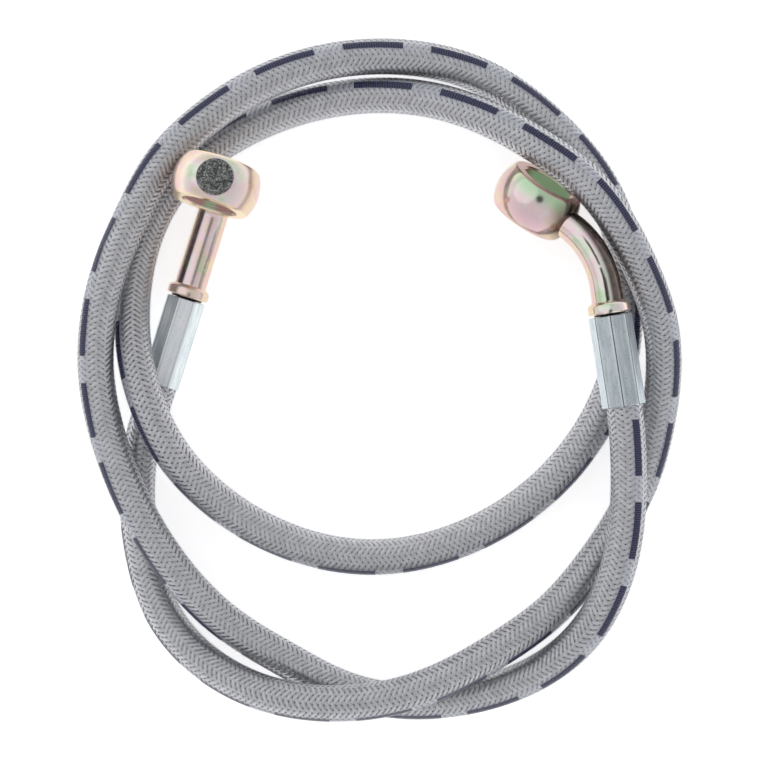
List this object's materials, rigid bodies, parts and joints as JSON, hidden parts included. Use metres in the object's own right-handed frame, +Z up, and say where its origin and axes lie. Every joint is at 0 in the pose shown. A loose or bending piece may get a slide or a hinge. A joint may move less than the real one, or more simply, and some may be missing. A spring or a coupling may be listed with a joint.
{
  "type": "brake line",
  "caption": "Steel-braided brake hose in loose turns, with crimped ferrules, a bent banjo fitting at each end and a printed dashed stripe.",
  "frame": {"origin": "on the surface that the line rests on, under the middle of its bounding box", "axes": "+Z up, +Y along the longer span of the loops, away from the bottom of the picture, +X to the right"},
  "size_m": [0.1183, 0.1344, 0.0258],
  "materials": {
    "clear_jacket": "clear smooth cover with navy printed dashes",
    "steel_braid": "woven stainless wire",
    "hose_liner": "smooth white tube",
    "ferrule": "blue-silver zinc plate, crimped flats",
    "banjo": "yellow-chromate zinc plate, iridescent"
  },
  "bodies": {
    "root": {"clear_jacket": "clear_jacket", "steel_braid": "steel_braid", "hose_liner": "hose_liner", "left_ferrule": "ferrule", "right_ferrule": "ferrule", "left_banjo": "banjo", "right_banjo": "banjo"}
  },
  "joints": []
}
